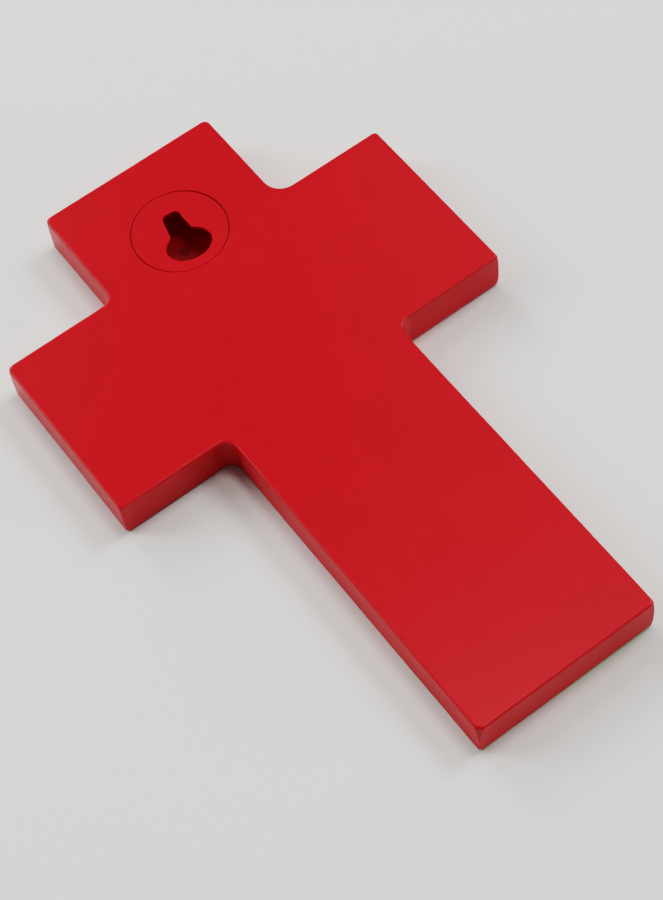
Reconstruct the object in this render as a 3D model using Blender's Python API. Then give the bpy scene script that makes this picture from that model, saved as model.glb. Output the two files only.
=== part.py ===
"""A small painted wall cross with a round keyhole hanger let into its back.

Metres, +Z up. The cross lies on its front, so its back is the plane z = 0 and
its head points along +Y. The origin is the centre of the hanger.
"""

import math

import bmesh
import bpy

MM = 0.001

# Board
ARM_WIDTH = 51 * MM  # across the head, the side arms and the shaft
HEAD_LENGTH = 32 * MM  # side arms to head end
SIDE_LENGTH = 31.7 * MM  # shaft to the end of a side arm
SHAFT_LENGTH = 97 * MM  # side arms to foot end
THICKNESS = 12 * MM
EDGE_RADIUS = 0.8 * MM  # the sanded edges of back and front
CORNER_RADIUS = 1.0 * MM  # the eight outer corners, seen from the back
INNER_RADIUS = 4.0 * MM  # the four corners where the arms meet
EDGE_TO_CORNER = 0.8  # the most that an edge's radius may be of the outer corners'
EDGE_TO_THICKNESS = 1 / 3  # and of the board's thickness

# Pocket in the back
FRONT_WALL = 3 * MM  # wood left in front of the pocket
FIT_GAP = 0.3 * MM  # hanger to pocket wall
SEAT_GAP = 0.3 * MM  # hanger to pocket floor
DIMPLE_WIDTH = 2.6 * MM  # mark of the drill's point in the pocket floor
DIMPLE_DEPTH = 0.8 * MM

# Keyhole, measured from the hanger's centre before it is turned
LOBE_WIDTH = 12.0 * MM  # oval that the screw head goes in by
LOBE_HEIGHT = 9.2 * MM
LOBE_DROP = 4.9 * MM  # hanger's centre down to the oval's centre
SLOT_WIDTH = 5.6 * MM  # slot level with the hanger's centre
SLOT_END_WIDTH = 4.3 * MM  # slot at its closed end
SLOT_REACH = 6.4 * MM  # hanger's centre up to the slot's end
SLOT_CORNER = 1.2 * MM
KEYHOLE_TURN = math.radians(-6.3)  # it was pressed in a little askew

# Hanger
RIM = 3 * MM  # plate left between the keyhole and the hanger's edge
PLATE = 1.0 * MM  # thickness round the keyhole
SKIRT_WALL = 1.4 * MM  # the skirt that stands on the pocket floor
RIM_BREAK = 0.2 * MM  # the plate's broken outer edge

# Smoothness of the round forms
EDGE_STEPS = 4
CORNER_STEPS = 6
RING_STEPS = 72
KEYHOLE_STEPS = 28
NECK_BLEND = 8  # how crisply the oval runs into the slot
OVERSHOOT = 2 * MM  # how far a cutter stands out of what it cuts
SMOOTH_ANGLE = math.radians(35)  # edges bent more than this stay crisp
WELD = 0.001 * MM  # points closer than this are one

keyhole_reach = max(
    LOBE_DROP + LOBE_HEIGHT / 2,
    math.hypot(LOBE_WIDTH / 2, LOBE_DROP),
    math.hypot(SLOT_END_WIDTH / 2, SLOT_REACH),
)
hanger_radius = keyhole_reach + RIM
pocket_radius = hanger_radius + FIT_GAP
pocket_depth = THICKNESS - FRONT_WALL
hanger_height = pocket_depth - SEAT_GAP
hanger_to_head = ARM_WIDTH / 2  # as much wood above the hanger as beside it


def clear_scene():
    for old in list(bpy.data.objects):
        bpy.data.objects.remove(old, do_unlink=True)


def painted(name, colour, roughness):
    """A plain painted material"""
    material = bpy.data.materials.new(name)
    material.use_nodes = True
    shader = material.node_tree.nodes["Principled BSDF"]
    shader.inputs["Base Color"].default_value = (*colour, 1)
    shader.inputs["Roughness"].default_value = roughness
    shader.inputs["Metallic"].default_value = 0
    material.diffuse_color = (*colour, 1)
    return material


def add_object(name, bm, material=None):
    """Turn a bmesh into an object with smooth round faces and crisp edges"""
    bmesh.ops.recalc_face_normals(bm, faces=bm.faces)
    mesh = bpy.data.meshes.new(name)
    bm.to_mesh(mesh)
    bm.free()
    mesh.shade_smooth()
    mesh.set_sharp_from_angle(angle=SMOOTH_ANGLE)
    item = bpy.data.objects.new(name, mesh)
    bpy.context.collection.objects.link(item)
    if material:
        mesh.materials.append(material)
    return item


def cut(item, cutter):
    """Take the cutter's shape out of an object and keep the cutter as a guide"""
    cutter.hide_render = True
    cutter.display_type = "WIRE"
    modifier = item.modifiers.new(cutter.name, "BOOLEAN")
    modifier.operation = "DIFFERENCE"
    modifier.solver = "EXACT"
    modifier.object = cutter


def rounded(corners, steps):
    """Points of a closed outline whose corners (x, y, radius) are rounded by arcs"""
    points = []
    for i, (x, y, radius) in enumerate(corners):
        before = corners[i - 1]
        after = corners[(i + 1) % len(corners)]
        back = math.atan2(before[1] - y, before[0] - x)
        ahead = math.atan2(after[1] - y, after[0] - x)
        opening = (back - ahead + math.pi) % (2 * math.pi) - math.pi
        middle = ahead + opening / 2
        reach = radius / math.sin(abs(opening) / 2)
        centre_x = x + reach * math.cos(middle)
        centre_y = y + reach * math.sin(middle)
        sweep = math.copysign(math.pi - abs(opening), opening)
        for step in range(steps + 1):
            angle = middle + math.pi + sweep * (step / steps - 0.5)
            points.append((centre_x + radius * math.cos(angle), centre_y + radius * math.sin(angle)))
    return points


def cross_outline():
    """The board's outline, anticlockwise seen from the back, from the head's left corner"""
    half = ARM_WIDTH / 2
    reach = half + SIDE_LENGTH
    head = hanger_to_head
    arm_top = head - HEAD_LENGTH
    arm_bottom = arm_top - ARM_WIDTH
    foot = arm_bottom - SHAFT_LENGTH
    left_side = [
        (-half, head, CORNER_RADIUS),
        (-half, arm_top, INNER_RADIUS),
        (-reach, arm_top, CORNER_RADIUS),
        (-reach, arm_bottom, CORNER_RADIUS),
        (-half, arm_bottom, INNER_RADIUS),
        (-half, foot, CORNER_RADIUS),
    ]
    right_side = [(-x, y, radius) for x, y, radius in reversed(left_side)]
    return rounded(left_side + right_side, CORNER_STEPS)


def slot_half_width(y):
    """Half the slot's width at a height: tapered, with its end corners rounded"""
    taper = (SLOT_END_WIDTH - SLOT_WIDTH) / SLOT_REACH
    half = (SLOT_WIDTH + taper * y) / 2
    into_corner = y - (SLOT_REACH - SLOT_CORNER)
    if into_corner > 0:
        half -= SLOT_CORNER - math.sqrt(max(SLOT_CORNER**2 - into_corner**2, 0))
    return half


def keyhole_half_width(y):
    """Half the keyhole's width at a height: the oval run smoothly into the slot"""
    from_centre = (y + LOBE_DROP) / (LOBE_HEIGHT / 2)
    oval = LOBE_WIDTH / 2 * math.sqrt(max(1 - from_centre**2, 0))
    slot = slot_half_width(y) if y > -LOBE_DROP else 0
    return (oval**NECK_BLEND + slot**NECK_BLEND) ** (1 / NECK_BLEND)


def keyhole_outline():
    """The keyhole's outline, anticlockwise, turned as the hanger is"""
    top = SLOT_REACH
    bottom = -LOBE_DROP - LOBE_HEIGHT / 2
    middle = (top + bottom) / 2
    half = (top - bottom) / 2
    heights = [middle - half * math.cos(math.pi * i / KEYHOLE_STEPS) for i in range(KEYHOLE_STEPS + 1)]
    right_side = [(keyhole_half_width(y), y) for y in heights[1:]]
    left_side = [(-x, y) for x, y in reversed(right_side)]
    cos = math.cos(KEYHOLE_TURN)
    sin = math.sin(KEYHOLE_TURN)
    upright = [(0, bottom)] + right_side + left_side
    return [(x * cos - y * sin, x * sin + y * cos) for x, y in upright]


def prism(outline, top, bottom):
    """A bmesh of an outline extruded down from one height to another"""
    bm = bmesh.new()
    face = bm.faces.new([bm.verts.new((x, y, top)) for x, y in outline])
    lower = bmesh.ops.extrude_face_region(bm, geom=[face])["geom"]
    lower_verts = [part for part in lower if isinstance(part, bmesh.types.BMVert)]
    bmesh.ops.translate(bm, verts=lower_verts, vec=(0, 0, bottom - top))
    return bm


def turned(profile):
    """A bmesh of a profile (radius, height), from axis to axis, spun round Z"""
    bm = bmesh.new()
    verts = [bm.verts.new((radius, 0, z)) for radius, z in profile]
    edges = [bm.edges.new(pair) for pair in zip(verts, verts[1:])]
    bmesh.ops.spin(
        bm,
        geom=verts + edges,
        cent=(0, 0, 0),
        axis=(0, 0, 1),
        angle=2 * math.pi,
        steps=RING_STEPS,
        use_merge=True,
    )
    bmesh.ops.remove_doubles(bm, verts=bm.verts, dist=WELD)
    return bm


def make_board():
    """The board with its edges eased, bored from the back for the hanger"""
    bm = prism(cross_outline(), 0, -THICKNESS)
    rims = [edge for edge in bm.edges if edge.verts[0].co.z == edge.verts[1].co.z]
    easing = min(EDGE_RADIUS, EDGE_TO_CORNER * CORNER_RADIUS, EDGE_TO_THICKNESS * THICKNESS)
    bmesh.ops.bevel(
        bm,
        geom=rims,
        offset=easing,
        affect="EDGES",
        segments=EDGE_STEPS,
        profile=0.5,
        material=-1,
    )
    board = add_object("cross_board", bm, painted("red_paint", (0.56, 0.008, 0.013), 0.42))
    cut(board, make_pocket_cutter())
    return board


def make_pocket_cutter():
    """The bored space: a flat floor with the dimple of the drill's point"""
    profile = [
        (0, OVERSHOOT),
        (pocket_radius, OVERSHOOT),
        (pocket_radius, -pocket_depth),
        (DIMPLE_WIDTH / 2, -pocket_depth),
        (0, -pocket_depth - DIMPLE_DEPTH),
    ]
    return add_object("pocket_cutter", turned(profile))


def make_hanger():
    """A cap whose plate is flush with the back and whose skirt stands on the pocket floor"""
    inner_radius = hanger_radius - SKIRT_WALL
    profile = [
        (0, 0),
        (hanger_radius - RIM_BREAK, 0),
        (hanger_radius, -RIM_BREAK),
        (hanger_radius, -hanger_height),
        (inner_radius, -hanger_height),
        (inner_radius, -PLATE),
        (0, -PLATE),
    ]
    hanger = add_object(
        "keyhole_hanger", turned(profile), painted("hanger_paint", (0.56, 0.008, 0.013), 0.4)
    )
    keyhole = prism(keyhole_outline(), OVERSHOOT, -PLATE - OVERSHOOT)
    cut(hanger, add_object("keyhole_cutter", keyhole))
    return hanger


clear_scene()
board = make_board()
hanger = make_hanger()
hanger.parent = board
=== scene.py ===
# %% [markdown]
# # A painted wall cross, lying on its front
#
# The real thing is a small cross sawn from one flat board, sanded along its
# edges and painted red all over. A round plastic hanger with a keyhole is
# pressed into a blind hole in its back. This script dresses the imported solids
# of that part: it models both pieces finely, paints them, and lights them on
# a pale table as seen from behind and above the foot.
#
# Every length is in metres. +Z comes out of the back, +Y points to the head
# and the origin is the centre of the hanger. The first cell loads the packed
# solids and asks for their boxes.

import math
from collections import namedtuple

import bmesh
import bpy
from mathutils import Matrix, Vector, noise


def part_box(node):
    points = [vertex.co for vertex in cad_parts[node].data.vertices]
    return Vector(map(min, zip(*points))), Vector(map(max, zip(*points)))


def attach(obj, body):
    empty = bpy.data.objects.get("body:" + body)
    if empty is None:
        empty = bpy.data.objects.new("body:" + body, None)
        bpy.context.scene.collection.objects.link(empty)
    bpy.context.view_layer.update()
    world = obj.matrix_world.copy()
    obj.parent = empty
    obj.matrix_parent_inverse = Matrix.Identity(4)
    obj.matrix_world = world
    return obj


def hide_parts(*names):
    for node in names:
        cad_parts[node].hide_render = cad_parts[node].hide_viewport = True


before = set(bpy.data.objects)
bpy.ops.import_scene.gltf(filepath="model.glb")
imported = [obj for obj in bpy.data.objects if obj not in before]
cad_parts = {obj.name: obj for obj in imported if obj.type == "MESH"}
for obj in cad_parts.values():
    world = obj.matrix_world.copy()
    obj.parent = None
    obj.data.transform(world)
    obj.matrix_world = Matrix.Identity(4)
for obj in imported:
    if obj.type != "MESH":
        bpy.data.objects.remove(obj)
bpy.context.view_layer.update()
board_low, board_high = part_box("cross_board")
hanger_low, hanger_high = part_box("keyhole_hanger")

# %% [markdown]
# ## Sizes
#
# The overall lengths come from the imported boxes, so the fine pieces cannot
# drift away from the solids that they stand for. What a box cannot say, such
# as the width of an arm or the gap round the hanger, is named here.

# %% Sizes
MM = 0.001
ARM_WIDTH = 51 * MM
HEAD_LENGTH = 32 * MM  # side arms to head end
RIM = 3 * MM  # plate left between the keyhole and the hanger's edge
FIT_GAP = 0.3 * MM  # hanger to the wall and the floor of its hole
HOLE_SHIFT = (-0.30 * MM, 0.05 * MM, 0)  # the hole was drilled a hair off the middle

thickness = board_high.z - board_low.z
half_span = board_high.x
head_y = board_high.y
foot_y = board_low.y
half_arm = ARM_WIDTH / 2
arm_top_y = head_y - HEAD_LENGTH
arm_bottom_y = arm_top_y - ARM_WIDTH

hanger_radius = hanger_high.x
hanger_height = hanger_high.z - hanger_low.z
hanger_middle = Vector(HOLE_SHIFT)
keyhole_reach = hanger_radius - RIM
pocket_radius = hanger_radius + FIT_GAP
pocket_depth = hanger_height + FIT_GAP
print("board", round(2 * half_span / MM, 1), round((head_y - foot_y) / MM, 1), round(thickness / MM, 1))
print("hanger", round(2 * hanger_radius / MM, 2), round(hanger_height / MM, 2))

# %% [markdown]
# ## The camera
#
# The picture was taken from above the foot, a little to the left, with a long
# lens. Its place and turn were worked out from the straight edges of the
# cross, so the camera is simply put there. The lens is the one that gives the
# same spread of view on a frame that is taller than it is wide.

# %% Camera
CAMERA_PLACE = (-0.1330, -0.3096, 0.4553)
CAMERA_TURN = (29.839, 4.749, -36.326)  # degrees about X, Y and Z
CAMERA_LENS = 88.5  # millimetres on a 36 mm frame

camera_data = bpy.data.cameras.new("camera")
camera_data.lens = CAMERA_LENS
camera_data.sensor_width = 36
camera_data.clip_start = 0.01
camera_data.clip_end = 20
camera = bpy.data.objects.new("camera", camera_data)
camera.location = CAMERA_PLACE
camera.rotation_euler = [math.radians(turn) for turn in CAMERA_TURN]
bpy.context.collection.objects.link(camera)
bpy.context.scene.camera = camera
print("camera", round(camera.location.length, 3), "m from the hanger")

# %% [markdown]
# ## Helpers for the meshes
#
# A bmesh is Blender's mesh for scripts. Each piece below is grown from a few
# vertices by the same operators that the Edit menu has. Some steps come back
# for several pieces: picking the new parts out of what an operator returns,
# extruding downwards, rounding edges, and handing a finished bmesh over to an
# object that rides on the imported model.

# %% Mesh helpers
def finished(name, bm, body="root"):
    """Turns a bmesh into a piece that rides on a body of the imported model"""
    bmesh.ops.recalc_face_normals(bm, faces=bm.faces)
    mesh = bpy.data.meshes.new(name)
    bm.to_mesh(mesh)
    bm.free()
    mesh.shade_smooth()
    piece = bpy.data.objects.new(name, mesh)
    bpy.context.collection.objects.link(piece)
    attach(piece, body)
    print(name, len(mesh.polygons), "faces")
    return piece


def verts_in(result):
    """The vertices among the parts that a bmesh operator returns"""
    return [part for part in result["geom"] if isinstance(part, bmesh.types.BMVert)]


def faces_in(result):
    """The faces among the parts that a bmesh operator returns"""
    return [part for part in result["geom"] if isinstance(part, bmesh.types.BMFace)]


def thicken_down(bm, faces, depth):
    """Extrudes faces straight down by a depth"""
    result = bmesh.ops.extrude_face_region(bm, geom=faces)
    bmesh.ops.translate(bm, verts=verts_in(result), vec=(0, 0, -depth))


def ease(bm, edges, radius, steps):
    """Rounds edges with a circular bevel"""
    bmesh.ops.bevel(
        bm,
        geom=edges,
        offset=radius,
        affect="EDGES",
        segments=steps,
        profile=0.5,
        material=-1,
    )


def moved(bm, offset):
    """The same bmesh, shifted"""
    bmesh.ops.translate(bm, verts=bm.verts, vec=offset)
    return bm

# %% [markdown]
# ## The board's outline
#
# The outline is twelve corners. The saw and the sanding block left them all a
# little different, so each has radii of its own, read from the photograph: at
# the back's rim, halfway down the side and at the front's rim. The inner
# corners are filled out by the paint. The outer ones were sanded round at the
# rims and stay crisper in between, and the one at the left of the foot was
# cut flat. One function draws the outline at any depth, always with the same
# number of points, so that outlines can be stacked.

# %% Board outline
CORNER_STEPS = 8
RIM_SPACING = 0.7 * MM  # between points along the straight edges
LEFT_TRIM = 0.1 * MM  # the left arm was sawn a little shorter than the right
HEAD_TRIM = 0.08 * MM  # the head is a little narrower than the shaft
ARM_SPREAD = 0.15 * MM  # the side arms are a little wider than the shaft

Corner = namedtuple("Corner", "x y back side front fade flat")


def outline_corners():
    """The corners from the head's left, anticlockwise.

    Each has its place, its radii in mm at the back, halfway and at the front,
    how fast they change, and whether it is cut flat instead of round.
    """
    head_half = half_arm - HEAD_TRIM
    left_end = LEFT_TRIM - half_span
    top = arm_top_y + ARM_SPREAD
    bottom = arm_bottom_y - ARM_SPREAD
    return [
        Corner(-head_half, head_y, 1.7, 1.0, 1.5, 3, False),
        Corner(-head_half, top, 3.2, 3.2, 3.2, 3, False),
        Corner(left_end, top, 1.9, 0.9, 1.7, 3, False),
        Corner(left_end, bottom, 1.2, 0.5, 1.5, 3, False),
        Corner(-half_arm, bottom, 3.5, 3.5, 3.5, 3, False),
        Corner(-half_arm, foot_y, 1.4, 0.1, 0.8, 1, True),
        Corner(half_arm, foot_y, 1.4, 0.4, 1.8, 3, False),
        Corner(half_arm, bottom, 3.8, 4.0, 4.0, 3, False),
        Corner(half_span, bottom, 1.0, 0.3, 1.6, 3, False),
        Corner(half_span, top, 1.3, 0.6, 1.2, 3, False),
        Corner(head_half, top, 5.2, 5.2, 5.2, 3, False),
        Corner(head_half, head_y, 1.8, 1.0, 1.4, 3, False),
    ]


def corner_radius(corner, depth):
    """A corner's radius in metres at a depth below the back"""
    middle = thickness / 2
    rim = corner.back if depth < middle else corner.front
    from_middle = abs(depth - middle) / middle
    return (corner.side + (rim - corner.side) * from_middle**corner.fade) * MM


def corner_arc(corner, place, before, after, depth):
    """Points round a corner, or straight across it where it is cut flat"""
    back = (before - place).normalized()
    ahead = (after - place).normalized()
    radius = corner_radius(corner, depth)
    arc = []
    for step in range(CORNER_STEPS + 1):
        share = step / CORNER_STEPS
        turn = math.pi / 2 * share
        along_back = 1 - share if corner.flat else 1 - math.sin(turn)
        along_ahead = share if corner.flat else 1 - math.cos(turn)
        arc.append(place + radius * (back * along_back + ahead * along_ahead))
    return arc


def outline(depth, inset):
    """Points of the cross's outline at a depth, drawn in by an inset all round"""
    corners = outline_corners()
    after = [(i + 1) % len(corners) for i in range(len(corners))]
    places = []
    for corner in corners:
        upper = corner.y > (arm_top_y + arm_bottom_y) / 2
        in_x = -inset if corner.x > 0 else inset
        in_y = -inset if upper else inset
        places.append(Vector((corner.x + in_x, corner.y + in_y)))
    arcs = [
        corner_arc(corner, places[i], places[i - 1], places[after[i]], depth)
        for i, corner in enumerate(corners)
    ]
    points = []
    for i, arc in enumerate(arcs):
        here, there = corners[i], corners[after[i]]
        pieces = int(math.hypot(here.x - there.x, here.y - there.y) / RIM_SPACING)
        points += arc
        points += [arc[-1].lerp(arcs[after[i]][0], piece / pieces) for piece in range(1, pieces)]
    return points


print("outline", len(outline(0, 0)), "points")

# %% [markdown]
# ## The board
#
# The board is the outline at the back, extruded down level by level to the
# front. Each level's points go where the outline is at that depth: the inset
# follows a quarter circle at both rims, which is the sanded ease. Bevelling a
# finished block would be shorter, but it could not give each corner a shape
# of its own.
#
# Then the sides are moved in by a few hundredths of a millimetre here and
# there, because a hand with sandpaper never leaves an edge dead straight. The
# waviness only ever takes wood away, so the piece stays inside the solid's box.

# %% Board body
BACK_EASE = 0.6 * MM
FRONT_EASE = 1.0 * MM
EASE_STEPS = 6
SIDE_LEVELS = 14
WAVE_DEPTH = 0.12 * MM
WAVE_LENGTH = 16 * MM
NICK_DEPTH = 0.10 * MM
NICK_LENGTH = 1.6 * MM
NICK_HEIGHT = 1.2 * MM  # how far down from a rim the nicks reach


def rounded_rim(radius):
    """Pairs of depth and inset along a quarter circle, from a rim into the side"""
    turns = [math.pi / 2 * step / EASE_STEPS for step in range(EASE_STEPS + 1)]
    return [(radius * (1 - math.cos(turn)), radius * (1 - math.sin(turn))) for turn in turns]


def levels():
    """Pairs of depth and inset, from the back's rim to the front's"""
    run = thickness - BACK_EASE - FRONT_EASE
    side = [(BACK_EASE + run * level / SIDE_LEVELS, 0) for level in range(1, SIDE_LEVELS)]
    front = [(thickness - height, inset) for height, inset in rounded_rim(FRONT_EASE)]
    return rounded_rim(BACK_EASE) + side + front[::-1]


def stacked(outlines):
    """A bmesh of closed outlines (depth, points), each extruded from the one before"""
    bm = bmesh.new()
    order = bm.verts.layers.int.new("order")
    depth, points = outlines[0]
    first = bm.faces.new([bm.verts.new((x, y, -depth)) for x, y in points])
    for i, vert in enumerate(first.verts):
        vert[order] = i
    cap = first
    for depth, points in outlines[1:]:
        left_behind = cap
        cap = faces_in(bmesh.ops.extrude_face_region(bm, geom=[cap]))[0]
        for vert in cap.verts:
            x, y = points[vert[order]]
            vert.co = (x, y, -depth)
        if left_behind != first:
            bmesh.ops.delete(bm, geom=[left_behind], context="FACES_ONLY")
    return bm


def sanded_in(x, y, z):
    """How far sanding took a side in, at a place: long waves, and nicks near the rims"""
    wave = 0.5 + 0.5 * noise.noise(Vector((x, y, z)) / WAVE_LENGTH)
    from_rim = min(-z, z + thickness) / NICK_HEIGHT
    rim = round(-z / thickness)  # 0 for the back's and 1 for the front's, which has other nicks
    nick = max(noise.noise(Vector((x, y, 3 * thickness * rim)) / NICK_LENGTH), 0)
    return WAVE_DEPTH * wave + NICK_DEPTH * nick * max(1 - from_rim, 0)


def make_board():
    """The board before it is bored"""
    bm = stacked([(depth, outline(depth, inset)) for depth, inset in levels()])
    bmesh.ops.recalc_face_normals(bm, faces=bm.faces)
    bm.normal_update()
    moves = {}
    for vert in bm.verts:
        outward = Vector((vert.normal.x, vert.normal.y, 0))
        moves[vert] = -outward * sanded_in(*vert.co)
    for vert, move in moves.items():
        vert.co += move
    return bm


board = finished("painted_board", make_board())

# %% [markdown]
# ## The blind hole
#
# The hole was drilled with a flat bit whose centre point leaves a dimple in
# the floor. Its shape is one profile spun round the drill's axis. The profile
# flares at the mouth, so taking it out of the board also eases the hole's
# edge. A Boolean is the plainest way to bore a hole in a finished board, and
# its result is kept as the mesh, with no modifier left to work it out again.

# %% Drill
MOUTH_EASE = 0.06 * MM
MOUTH_STEPS = 4
DIMPLE_RADIUS = 1.3 * MM
DIMPLE_DEPTH = 0.8 * MM
ROUND_STEPS = 144
OVERSHOOT = 1 * MM  # how far the drill stands out of the back
WELD = 0.001 * MM  # points closer than this are one
CREASE_ANGLE = math.radians(40)  # edges bent more than this stay crisp


def spun(profile, closed=False):
    """A bmesh of a profile (radius, height) spun round Z, from axis to axis or as a closed loop"""
    bm = bmesh.new()
    verts = [bm.verts.new((radius, 0, z)) for radius, z in profile]
    edges = [bm.edges.new(pair) for pair in zip(verts, verts[1:])]
    if closed:
        edges.append(bm.edges.new((verts[-1], verts[0])))
    bmesh.ops.spin(
        bm,
        geom=verts + edges,
        cent=(0, 0, 0),
        axis=(0, 0, 1),
        angle=2 * math.pi,
        steps=ROUND_STEPS,
        use_merge=True,
    )
    bmesh.ops.remove_doubles(bm, verts=bm.verts, dist=WELD)
    bmesh.ops.recalc_face_normals(bm, faces=bm.faces)
    return bm


def flare(radius, z, reach):
    """Points of a rounded mouth: from a wall up and out to the surface"""
    turns = [math.pi / 2 * i / MOUTH_STEPS for i in range(MOUTH_STEPS + 1)]
    return [
        (radius + reach - reach * math.cos(turn), z - reach + reach * math.sin(turn)) for turn in turns
    ]


def drill():
    """What the drill takes away"""
    mouth = flare(pocket_radius, 0, MOUTH_EASE)
    outside = [(0, OVERSHOOT), (mouth[-1][0], OVERSHOOT)]
    floor = [
        (pocket_radius, -pocket_depth),
        (DIMPLE_RADIUS, -pocket_depth),
        (0, -pocket_depth - DIMPLE_DEPTH),
    ]
    return spun(outside + mouth[::-1] + floor)


def bore(piece, cutter_bm):
    """Takes a cutter out of a piece and leaves the result in its mesh"""
    mesh = bpy.data.meshes.new("cutter")
    cutter_bm.to_mesh(mesh)
    cutter_bm.free()
    cutter = bpy.data.objects.new("cutter", mesh)
    bpy.context.collection.objects.link(cutter)
    modifier = piece.modifiers.new("bore", "BOOLEAN")
    modifier.object = cutter
    modifier.solver = "EXACT"
    evaluated = piece.evaluated_get(bpy.context.evaluated_depsgraph_get())
    bored = bpy.data.meshes.new_from_object(evaluated)
    piece.modifiers.clear()
    piece.data = bored
    bpy.data.objects.remove(cutter)


def flat_shading(piece):
    """Lets the flat faces shade flat, so that only the roundings between them look round"""
    piece.data.set_sharp_from_angle(angle=CREASE_ANGLE)
    modifier = piece.modifiers.new("flat_shading", "WEIGHTED_NORMAL")
    modifier.mode = "FACE_AREA"
    modifier.weight = 100
    modifier.keep_sharp = True


bore(board, moved(drill(), hanger_middle))
flat_shading(board)
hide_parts("cross_board")
print("bored board", len(board.data.polygons), "faces")

# %% [markdown]
# ## The keyhole
#
# The cross hangs on one screw. Its head goes in by an oval, and its shank
# then slides up a slot that narrows to a rounded end. The outline is worked
# out as a half width for each height: a high power of the two widths, added
# and rooted again, is nearly the larger one and rounds the neck where they
# meet. The points lie closer together at the top and bottom, where the
# outline turns most.

# %% Keyhole outline
LOBE_WIDTH = 12.3 * MM
LOBE_HEIGHT = 9.4 * MM
LOBE_DROP = 4.95 * MM  # hanger's centre down to the oval's centre
SLOT_WIDTH = 6.0 * MM  # level with the hanger's centre
SLOT_END_WIDTH = 4.5 * MM
SLOT_REACH = 6.4 * MM  # hanger's centre up to the slot's end
SLOT_CORNER = 1.2 * MM
NECK_BLEND = 5  # how crisply the oval runs into the slot
KEYHOLE_STEPS = 40
KEYHOLE_TURN = math.radians(-6.3)  # the hanger was pressed in a little askew
KEYHOLE_SHIFT = 0.15 * MM  # the keyhole lies a little to the right in the plate


def slot_half_width(y):
    """Half the slot's width at a height: tapered, with its end corners rounded"""
    taper = (SLOT_END_WIDTH - SLOT_WIDTH) / SLOT_REACH
    half = (SLOT_WIDTH + taper * y) / 2
    into_corner = y - (SLOT_REACH - SLOT_CORNER)
    if into_corner > 0:
        half -= SLOT_CORNER - math.sqrt(max(SLOT_CORNER**2 - into_corner**2, 0))
    return half


def keyhole_half_width(y):
    """Half the keyhole's width at a height: the oval run smoothly into the slot"""
    from_centre = (y + LOBE_DROP) / (LOBE_HEIGHT / 2)
    oval = LOBE_WIDTH / 2 * math.sqrt(max(1 - from_centre**2, 0))
    slot = slot_half_width(y) if y > -LOBE_DROP else 0
    return (oval**NECK_BLEND + slot**NECK_BLEND) ** (1 / NECK_BLEND)


def keyhole_points():
    """The keyhole's outline before it is turned, anticlockwise from its lowest point"""
    top = SLOT_REACH
    bottom = -LOBE_DROP - LOBE_HEIGHT / 2
    middle = (top + bottom) / 2
    half = (top - bottom) / 2
    heights = [middle - half * math.cos(math.pi * i / KEYHOLE_STEPS) for i in range(KEYHOLE_STEPS + 1)]
    right_side = [(keyhole_half_width(y), y) for y in heights[1:]]
    left_side = [(-x, y) for x, y in reversed(right_side)]
    return [(x + KEYHOLE_SHIFT, y) for x, y in [(0, bottom)] + right_side + left_side]


print("keyhole", len(keyhole_points()), "points")

# %% [markdown]
# ## The hanger
#
# The hanger is a moulded cap: a round plate, level with the board's back, on
# a skirt that stands on the floor of the hole. The plate is the keyhole's
# loop bridged to a circle, whose edges are extruded once more and scaled out
# to the rim. Extruding it all downwards gives the plate its thickness, and
# extruding the outer ring once more gives the skirt, so no Boolean is needed.
# The paint has left the keyhole's edge a little uneven, which a soft noise
# copies.

# %% Hanger
PLATE = 1.0 * MM
PLATE_EASE = 0.06 * MM
PLATE_EASE_STEPS = 3
SHARP_BEND = 1  # radians, the least that an eased edge is bent
SKIRT_WALL = 1.4 * MM
NIB_HEIGHT = 0.12 * MM
NIB_LENGTH = 1.5 * MM
NIB_SEED = 3  # without a seed the noise would start from the time of day


def loop(bm, points):
    """A closed loop of edges through points (x, y) on the back's plane"""
    verts = [bm.verts.new((x, y, 0)) for x, y in points]
    return [bm.edges.new((verts[i - 1], verts[i])) for i in range(len(verts))]


def circle_points(radius):
    """Points round the hanger's axis, from its lowest"""
    turns = [2 * math.pi * (i / ROUND_STEPS - 0.25) for i in range(ROUND_STEPS)]
    return [(radius * math.cos(turn), radius * math.sin(turn)) for turn in turns]


def make_cap():
    """The plate on its skirt, with crisp edges"""
    bm = bmesh.new()
    inner_radius = hanger_radius - SKIRT_WALL
    keyhole = loop(bm, keyhole_points())
    inner = loop(bm, circle_points(inner_radius))
    bmesh.ops.bridge_loops(bm, edges=keyhole + inner)
    widened = bmesh.ops.extrude_edge_only(bm, edges=inner)
    growth = hanger_radius / inner_radius
    bmesh.ops.scale(bm, verts=verts_in(widened), vec=(growth, growth, 1))
    thicken_down(bm, bm.faces[:], PLATE)
    bmesh.ops.recalc_face_normals(bm, faces=bm.faces)
    ring = [
        face
        for face in bm.faces
        if face.normal.z < -0.5 and face.calc_center_median().xy.length > inner_radius + SKIRT_WALL / 3
    ]
    thicken_down(bm, ring, hanger_height - PLATE)
    bmesh.ops.delete(bm, geom=ring, context="FACES")
    bmesh.ops.recalc_face_normals(bm, faces=bm.faces)
    return bm


def make_hanger():
    """The cap, eased, made uneven round the keyhole and turned"""
    bm = make_cap()
    creases = [
        edge
        for edge in bm.edges
        if all(vert.co.z == 0 for vert in edge.verts) and edge.calc_face_angle() > SHARP_BEND
    ]
    ease(bm, creases, PLATE_EASE, PLATE_EASE_STEPS)
    noise.seed_set(NIB_SEED)
    for vert in bm.verts:
        if vert.co.xy.length < keyhole_reach + PLATE_EASE:
            push = noise.noise_vector(vert.co / NIB_LENGTH) * NIB_HEIGHT
            vert.co.xy += push.xy
    turn = Matrix.Rotation(KEYHOLE_TURN, 3, "Z")
    bmesh.ops.rotate(bm, verts=bm.verts, cent=(0, 0, 0), matrix=turn)
    return bm


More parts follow.
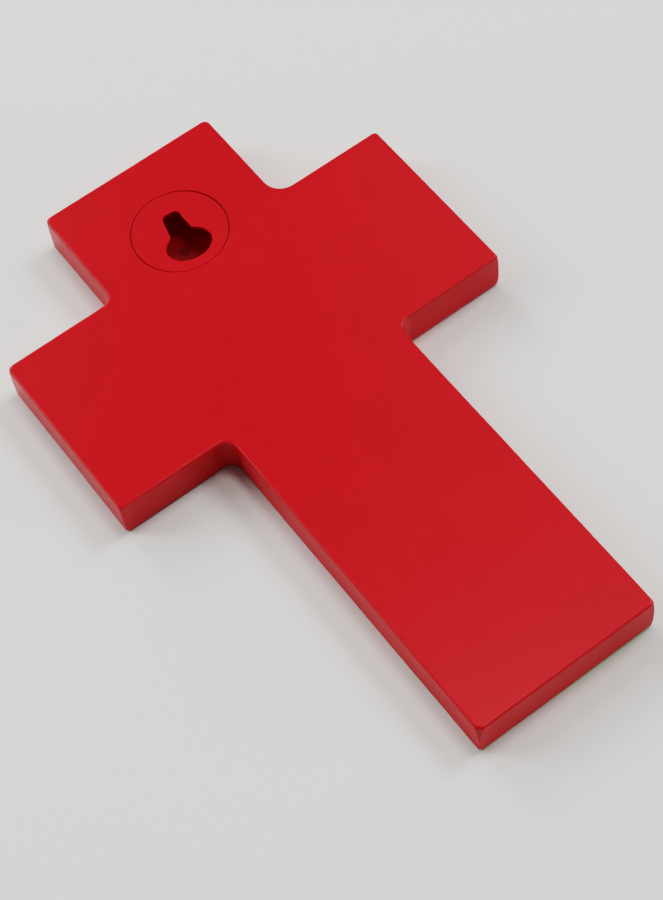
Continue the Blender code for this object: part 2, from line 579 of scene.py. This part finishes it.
hanger = finished("hanger_cap", moved(make_hanger(), hanger_middle))
flat_shading(hanger)
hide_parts("keyhole_hanger")

# %% [markdown]
# ## Paint in the joint
#
# The cross was painted with the hanger in place, so paint has run into the
# gap round it. It lines the wall of the hole and bridges the gap a little
# below the back. Only a groove is left open, a tenth to a third of a
# millimetre wide: the brush closed it most towards the head and the foot, and
# the hanger leans to one side in its hole. The lining is one profile with a
# rounded lip, spun once round the hanger. Its inner wall is then pushed in
# and out, which a spin alone could not do.

# %% Paint seam
SLIT = 0.235 * MM
SLIT_CHANGE = 0.08 * MM  # how much wider and narrower the slit gets on its way round
SLIT_WIDEST = math.radians(172)  # where it is widest, and again on the other side
SLIT_LEAN = 0.045 * MM  # how far the hanger sits to one side in its hole
SLIT_LEAN_TURN = math.radians(30)
GROOVE_DEPTH = 0.65 * MM  # where paint bridges the slit
SEAM_DEPTH = 3 * MM
SEAM_SKIN = 0.004 * MM  # the lining's top lies this little below the back
SEAM_BITE = 0.1 * MM  # its outside lies this far in the wood
BRIDGE_BITE = 0.025 * MM  # and its bridge this far in the hanger


def slit_widening(angle):
    """How much wider than usual the slit is at an angle round the hanger"""
    widening = SLIT_CHANGE * math.cos(2 * (angle - SLIT_WIDEST))
    return widening + SLIT_LEAN * math.cos(angle - SLIT_LEAN_TURN)


def make_seam():
    """The lining of the joint"""
    inner = hanger_radius + SLIT
    outer = pocket_radius + MOUTH_EASE + SEAM_BITE
    bridge = hanger_radius - BRIDGE_BITE
    profile = flare(inner, -SEAM_SKIN, MOUTH_EASE / 2) + [
        (outer, -SEAM_SKIN),
        (outer, -SEAM_DEPTH),
        (bridge, -SEAM_DEPTH),
        (bridge, -GROOVE_DEPTH),
        (inner, -GROOVE_DEPTH),
    ]
    bm = spun(profile, closed=True)
    for vert in bm.verts:
        if hanger_radius < vert.co.xy.length < pocket_radius:
            angle = math.atan2(vert.co.y, vert.co.x)
            vert.co.xy += vert.co.xy.normalized() * slit_widening(angle)
    return bm


seam = finished("paint_seam", moved(make_seam(), hanger_middle))
flat_shading(seam)

# %% [markdown]
# ## Shader maths
#
# A material is a net of nodes. Written out node by node it is hard to read,
# so one small class wraps a node's output socket and lets it be added and
# multiplied like a number: each sign adds a Math node. Every other node comes
# from one function, which sets the node's own settings first and then fills
# or links its inputs.

# %% Node helpers
class Signal:
    """An output socket that works like a number in an expression"""

    def __init__(self, tree, socket):
        self.tree = tree
        self.socket = socket

    def maths(self, operation, first, second):
        return add_node(self.tree, "ShaderNodeMath", {"operation": operation}, {0: first, 1: second})

    def __add__(self, other):
        return self.maths("ADD", self, other)

    def __sub__(self, other):
        return self.maths("SUBTRACT", self, other)

    def __rsub__(self, other):
        return self.maths("SUBTRACT", other, self)

    def __mul__(self, other):
        return self.maths("MULTIPLY", self, other)

    def __truediv__(self, other):
        return self.maths("DIVIDE", self, other)

    __radd__ = __add__
    __rmul__ = __mul__

    def larger(self, other):
        """The larger of two signals"""
        return self.maths("MAXIMUM", self, other)

    def rising(self, low, high):
        """0 below low, 1 above high and a smooth rise between them"""
        return add_node(
            self.tree,
            "ShaderNodeMapRange",
            {"interpolation_type": "SMOOTHSTEP"},
            {"Value": self, "From Min": low, "From Max": high},
        )

    def falling(self, low, high):
        """1 below low, 0 above high"""
        return 1 - self.rising(low, high)


def add_node(tree, kind, settings, inputs, output=0):
    """Adds a node, sets it, fills or links its inputs and returns one output"""
    node = tree.nodes.new(kind)
    for name, value in settings.items():
        setattr(node, name, value)
    for name, value in inputs.items():
        socket = node.inputs[name]
        if isinstance(value, Signal):
            tree.links.new(value.socket, socket)
        else:
            socket.default_value = value
    return Signal(tree, node.outputs[output]) if node.outputs else None


def blend(tree, amount, first, second):
    """Mixes two colours by an amount from 0 to 1"""
    return add_node(
        tree,
        "ShaderNodeMix",
        {"data_type": "RGBA"},
        {0: amount, 6: first, 7: second},
        output=2,
    )


def cloud(tree, place, size, detail=2):
    """Soft noise from 0 to 1 whose blots are about one size across"""
    return add_node(
        tree,
        "ShaderNodeTexNoise",
        {"noise_dimensions": "3D"},
        {"Vector": place, "Scale": 1 / size, "Detail": detail, "Roughness": 0.5},
    )


def along_axis(tree, vector, axis):
    """One of the three numbers of a vector"""
    return add_node(tree, "ShaderNodeSeparateXYZ", {}, {0: vector}, output=axis)


def vector_maths(tree, operation, first, second=(0, 0, 0), output="Vector"):
    """A vector, or a number such as a length, made from two vectors"""
    settings = {"operation": operation}
    return add_node(tree, "ShaderNodeVectorMath", settings, {0: first, 1: second}, output)

# %% [markdown]
# ## Painted shade and glow round and inside the hole
#
# The gap round the hanger and the hole below it are painted darker than the
# light alone makes them. A ring of deeper red is painted along the joint, a
# painted shade that widens the groove's dark line. Inside the hole, the walls
# of the joint, the hole and the drill's dimple in its floor get deeper reds,
# which are painted shade. A faint red glow, an emission that stands in for
# light, is painted inside the hole so that it never looks quite black. These
# places are found by the distance from the hanger's axis and by the height, as
# soft masks from 0 to 1. The painted ring is strong where the slit is wide,
# and it fades on the lower left.

# %% Paint in the hole
# Painted shade: these deeper reds darken the hole, the joint, the drill's dimple and the ring along the
# joint. The glow is painted light.
HOLE_SHADE_RED = (0.30, 0.0020, 0.0045, 1)
JOINT_SHADE_RED = (0.30, 0.0, 0.001, 1)
RING_SHADE_RED = (0.14, 0.0, 0.0010, 1)
# Painted shade in the drill's dimple at the floor of the hole
DIMPLE_SHADE_RED = (0.05, 0.001, 0.001, 1)  # the drill's mark in the floor
PAINTED_GLOW = (0.026, 0.0, 0.0, 1)
NO_LIGHT = (0, 0, 0, 1)

# Pairs of distances from the hanger's axis
RING_SHADE_START = (hanger_radius - 0.3 * MM, hanger_radius - 0.1 * MM)
RING_SHADE_END = (pocket_radius, pocket_radius + 0.2 * MM)
JOINT_START = (hanger_radius - 0.2 * MM, hanger_radius - 0.15 * MM)
HOLE_END = (pocket_radius + 0.4 * MM, pocket_radius + 0.6 * MM)
DIMPLE_SHADE_END = (1.2 * MM, 1.8 * MM)

# Pairs of heights
JOINT_TOP = (-0.16 * MM, -0.04 * MM)
HOLE_TOP = (-1.4 * MM, -0.8 * MM)
DIMPLE_SHADE_TOP = (-8.8 * MM, -8.6 * MM)
HOLE_BOTTOM = (-10.8 * MM, -10.3 * MM)

FACING_UP = (0.5, 0.9)  # of the normal's height
# The bead is the ring of painted shade along the joint: how dark it is painted, and where it is
# strongest
RING_SHADE_AMOUNT = 0.55
RING_SHADE_TURN = math.radians(35)  # where the bead is strongest


def ring_shade_strength(tree, flat_place):
    """How strong the painted ring of shade is at an angle round the hanger, from 0 to 1"""
    east = along_axis(tree, flat_place, "X") / hanger_radius
    north = along_axis(tree, flat_place, "Y") / hanger_radius
    both_ways = (east * east - north * north) * math.cos(2 * SLIT_WIDEST)
    both_ways = both_ways + east * north * (2 * math.sin(2 * SLIT_WIDEST))
    one_way = east * math.cos(RING_SHADE_TURN) + north * math.sin(RING_SHADE_TURN)
    return (0.5 + 0.5 * both_ways) * (0.65 + 0.35 * one_way)


def hole_paint(tree, colour, place, height, upward):
    """Adds the painted shade of the ring, the joint, the hole and its dimple. Returns the colour and
    the painted glow
    """
    from_middle = vector_maths(tree, "SUBTRACT", place, tuple(hanger_middle))
    flat_place = vector_maths(tree, "MULTIPLY", from_middle, (1, 1, 0))
    from_axis = vector_maths(tree, "LENGTH", flat_place, output="Value")

    # Painted shade: a darker ring along the joint, strongest where the slit is wide
    ring_shade = from_axis.rising(*RING_SHADE_START) * from_axis.falling(*RING_SHADE_END)
    ring_shade = ring_shade * ring_shade_strength(tree, flat_place) * upward.rising(*FACING_UP)
    joint = from_axis.rising(*JOINT_START) * height.falling(*JOINT_TOP)
    inside = joint.larger(height.falling(*HOLE_TOP)) * from_axis.falling(*HOLE_END)
    inside = inside * height.rising(*HOLE_BOTTOM)
    # Painted shade: the drill's dimple is painted darker
    dimple_shade = inside * height.falling(*DIMPLE_SHADE_TOP) * from_axis.falling(*DIMPLE_SHADE_END)

    # Painted shade of the ring, the hole, the dimple and the joint, then a painted glow for the hole
    colour = blend(tree, RING_SHADE_AMOUNT * ring_shade, colour, RING_SHADE_RED)
    colour = blend(tree, inside, colour, HOLE_SHADE_RED)
    colour = blend(tree, 0.5 * dimple_shade, colour, DIMPLE_SHADE_RED)
    colour = blend(tree, 0.9 * joint * inside, colour, JOINT_SHADE_RED)
    return colour, blend(tree, inside, NO_LIGHT, PAINTED_GLOW)


print("bead from", round(RING_SHADE_START[0] / MM, 2), "to", round(RING_SHADE_END[1] / MM, 2), "mm off the axis")

# %% [markdown]
# ## The green edge of the front
#
# The front is hidden, but a thin line of green shows along its edge at the
# foot, yellower on the left. So the front gets a plain green field there with
# a slightly wavy upper border, and the field wraps round the edge by half a
# millimetre or so. It is painted as a mask on the same red material, because
# a separate piece of paint would need a thickness of its own.

# %% Front field
GREEN = (0.22, 0.52, 0.16, 1)
YELLOW_GREEN = (0.42, 0.46, 0.14, 1)
FIELD_LOW = 24 * MM  # the border is at least this far above the foot
FIELD_HILL = 22 * MM  # and the clouds add a share of this, a bit under half
FIELD_SOFTNESS = 0.4 * MM
WRAP = 0.15 * MM  # how far the green comes up the sides
WRAP_RAGGED = 0.7 * MM  # and up to this much more
WRAP_RIGHT = 0.5 * MM  # and this much more at the right
WRAP_SOFTNESS = 0.15 * MM


def front_field(tree, colour, place, height):
    """Adds the green field that covers the foot of the front and wraps round its edge"""
    across = along_axis(tree, place, "X")
    along = along_axis(tree, place, "Y")
    hill = cloud(tree, place, 40 * MM, detail=1)
    ragged = cloud(tree, place, 5 * MM)
    border = foot_y + (FIELD_LOW + FIELD_HILL * hill)
    low = (along - border).falling(-FIELD_SOFTNESS, FIELD_SOFTNESS)
    to_right = across.rising(-10 * MM, 15 * MM)
    wrap = -thickness + (WRAP + WRAP_RAGGED * ragged + WRAP_RIGHT * to_right)
    under = (height - wrap).falling(-WRAP_SOFTNESS, WRAP_SOFTNESS)
    green = blend(tree, across.rising(-18 * MM, 14 * MM), YELLOW_GREEN, GREEN)
    return blend(tree, low * under, colour, green)


print("green up to about", round((FIELD_LOW + FIELD_HILL / 2) / MM), "mm above the foot")

# %% [markdown]
# ## The red paint
#
# The paint is a satin enamel: a deep, saturated red with a soft gloss that
# shows where it meets the light at a low angle. Up close it has the fine
# orange peel of a small roller and a few specks of dust under the film. Along
# the eased rims it is painted a little paler, a painted sheen where the rims
# catch light. It is duller on the sides, where the sawn wood soaked it up,
# most of all on the shaft.
#
# All of it is read from Object coordinates, so it stays put on the wood from
# every side. Rims and sides are told from the back by the surface's normal.

# %% Red paint
RED = (0.56, 0.0035, 0.0100, 1)
DEEP_RED = (0.51, 0.0030, 0.0088, 1)
# Painted sheen: the paler red of the eased rims
RIM_SHEEN_RED = (0.52, 0.0150, 0.0220, 1)
SPECK_RED = (0.30, 0.002, 0.004, 1)
BROAD_SIZE = 30 * MM
MOTTLE_SIZE = 3 * MM
PEEL_SIZE = 0.9 * MM
SPECK_SPACING = 7 * MM
SPECK_SIZE = 0.35 * MM
PEEL_HEIGHT = 0.004 * MM
BROAD_HEIGHT = 0.05 * MM
SPECK_HEIGHT = 0.02 * MM
SIDE_HEIGHT = 0.03 * MM
SATIN = 0.26  # roughness of the back
SHAFT_DULLING = 0.14  # how much rougher the sides of the shaft are
ARM_GLOSS = 0.09  # and how much less of that the arms' sides have
SHAFT_TO_ARMS = (-78 * MM, -50 * MM)  # along the cross


def specks(tree, place):
    """Scattered round specks of dust, as a mask"""
    cell = add_node(
        tree,
        "ShaderNodeTexVoronoi",
        {"feature": "F1"},
        {"Vector": place, "Scale": 1 / SPECK_SPACING, "Randomness": 1.0},
        output="Distance",
    )
    return cell.falling(0.4 * SPECK_SIZE / SPECK_SPACING, SPECK_SIZE / SPECK_SPACING)


def red_paint(name, field=False):
    """Satin red paint, with a plain green field at the foot of the front if asked"""
    material = bpy.data.materials.new(name)
    material.use_nodes = True
    tree = material.node_tree
    tree.nodes.clear()
    place = add_node(tree, "ShaderNodeTexCoord", {}, {}, output="Object")
    normal = add_node(tree, "ShaderNodeNewGeometry", {}, {}, output="Normal")
    height = along_axis(tree, place, "Z")
    upward = along_axis(tree, normal, "Z")
    side = (upward * upward).falling(0.2, 0.7)
    rim = upward.rising(0.12, 0.35) - upward.rising(0.85, 0.97)

    broad = cloud(tree, place, BROAD_SIZE)
    mottle = cloud(tree, place, MOTTLE_SIZE, detail=3)
    peel = cloud(tree, place, PEEL_SIZE, detail=1)
    speck = specks(tree, place)

    tone = (broad * 0.6 + mottle * 0.4).rising(0.3, 0.7)
    colour = blend(tree, tone, DEEP_RED, RED)
    # Painted sheen: the rims are painted paler where they catch light
    colour = blend(tree, rim * (0.4 + 0.8 * mottle), colour, RIM_SHEEN_RED)
    # Painted shade in the hole and along its joint, and a painted glow in the hole
    colour, painted_glow = hole_paint(tree, colour, place, height, upward)
    colour = blend(tree, 0.25 * speck, colour, SPECK_RED)
    if field:
        colour = front_field(tree, colour, place, height)

    arms = along_axis(tree, place, "Y").rising(*SHAFT_TO_ARMS)
    roughness = SATIN + 0.06 * mottle + side * (SHAFT_DULLING - ARM_GLOSS * arms)
    surface = peel * PEEL_HEIGHT + broad * BROAD_HEIGHT + speck * SPECK_HEIGHT
    surface = surface + side * mottle * SIDE_HEIGHT
    bump = add_node(
        tree,
        "ShaderNodeBump",
        {},
        {"Height": surface, "Distance": 1.0, "Strength": 1.0},
    )
    # The emission is the painted glow in the hole; nothing there is a lamp.
    shader = add_node(
        tree,
        "ShaderNodeBsdfPrincipled",
        {},
        {
            "Base Color": colour,
            "Roughness": roughness,
            "Emission Color": painted_glow,
            "Emission Strength": 1.0,
            "Normal": bump,
            "IOR": 1.5,
            "Specular IOR Level": 0.24,
        },
    )
    add_node(tree, "ShaderNodeOutputMaterial", {}, {"Surface": shader})
    print(name, len(tree.nodes), "nodes")
    return material


board.data.materials.clear()
board.data.materials.append(red_paint("board_paint", field=True))
hanger.data.materials.append(red_paint("hanger_paint"))
seam.data.materials.append(red_paint("seam_paint"))

# %% [markdown]
# ## The table
#
# The cross lies on a plain pale table. A flat grid at the height of the
# cross's front is enough, large enough to fill the picture from every side.
# It is quite matt, and it belongs to the stage, not to the object.

# %% Table
TABLE_COLOUR = (0.80, 0.80, 0.775, 1)
TABLE_ROUGHNESS = 0.9
TABLE_SIZE = 6.0

bm = bmesh.new()
bmesh.ops.create_grid(bm, x_segments=1, y_segments=1, size=TABLE_SIZE / 2)
bmesh.ops.translate(bm, verts=bm.verts, vec=(0, 0, board_low.z))
table_mesh = bpy.data.meshes.new("table")
bm.to_mesh(table_mesh)
bm.free()
table = bpy.data.objects.new("table", table_mesh)
bpy.context.collection.objects.link(table)
table_material = bpy.data.materials.new("table")
table_material.use_nodes = True
table_shader = table_material.node_tree.nodes["Principled BSDF"]
table_shader.inputs["Base Color"].default_value = TABLE_COLOUR
table_shader.inputs["Roughness"].default_value = TABLE_ROUGHNESS
table_shader.inputs["Specular IOR Level"].default_value = 0.0
table_mesh.materials.append(table_material)
print("table", TABLE_SIZE, "m wide")

# %% [markdown]
# ## The light
#
# The light is soft and comes mostly from the head's side and the right, with
# the pale room filling in, so the back is evenly lit and the sides that face
# the camera are darker. Nine wide round lights stand for the bright parts of
# the room. Their powers were fitted so that the table's shading, the shadows
# and the colours of back and sides come out as in the photograph. They are
# far away for their size, so the light hardly changes across the cross.

# %% Lights
WORLD_COLOUR = (1, 1, 1, 1)
WORLD_STRENGTH = 0.106
LIGHT_DISTANCE = 3.0
Patch = namedtuple("Patch", "azimuth elevation width power")
SKY = (  # degrees, degrees, metres and watts
    Patch(135, 10, 1.25, 18.7),
    Patch(0, 30, 1.25, 28.3),
    Patch(315, 30, 1.25, 25.9),
    Patch(0, 50, 1.1, 3.5),
    Patch(45, 50, 1.1, 4.0),
    Patch(90, 50, 1.1, 31.7),
    Patch(315, 50, 1.1, 9.8),
    Patch(45, 77, 0.7, 8.2),
    Patch(90, 77, 0.7, 10.3),
)

view = bpy.context.scene.view_settings
view.view_transform = "Filmic"
view.look = "High Contrast"

world = bpy.data.worlds.new("room")
world.use_nodes = True
world.node_tree.nodes["Background"].inputs["Color"].default_value = WORLD_COLOUR
world.node_tree.nodes["Background"].inputs["Strength"].default_value = WORLD_STRENGTH
bpy.context.scene.world = world


def softbox(patch):
    """A soft round light that faces the cross. Azimuth 0 is towards the head, 90 to the right"""
    name = "sky_%d_%d" % (patch.azimuth, patch.elevation)
    light = bpy.data.lights.new(name, "AREA")
    light.shape = "DISK"
    light.size = patch.width
    light.energy = patch.power
    item = bpy.data.objects.new(name, light)
    round_about = math.radians(patch.azimuth)
    upwards = math.radians(patch.elevation)
    level = math.cos(upwards)
    away = Vector((math.sin(round_about) * level, math.cos(round_about) * level, math.sin(upwards)))
    centre = Vector((0, (head_y + foot_y) / 2, 0))
    item.location = centre + away * LIGHT_DISTANCE
    item.rotation_mode = "QUATERNION"
    item.rotation_quaternion = away.to_track_quat("Z", "Y")
    bpy.context.collection.objects.link(item)


for patch in SKY:
    softbox(patch)
print("lights", len(SKY), "of", round(sum(patch.power for patch in SKY), 1), "W in all")
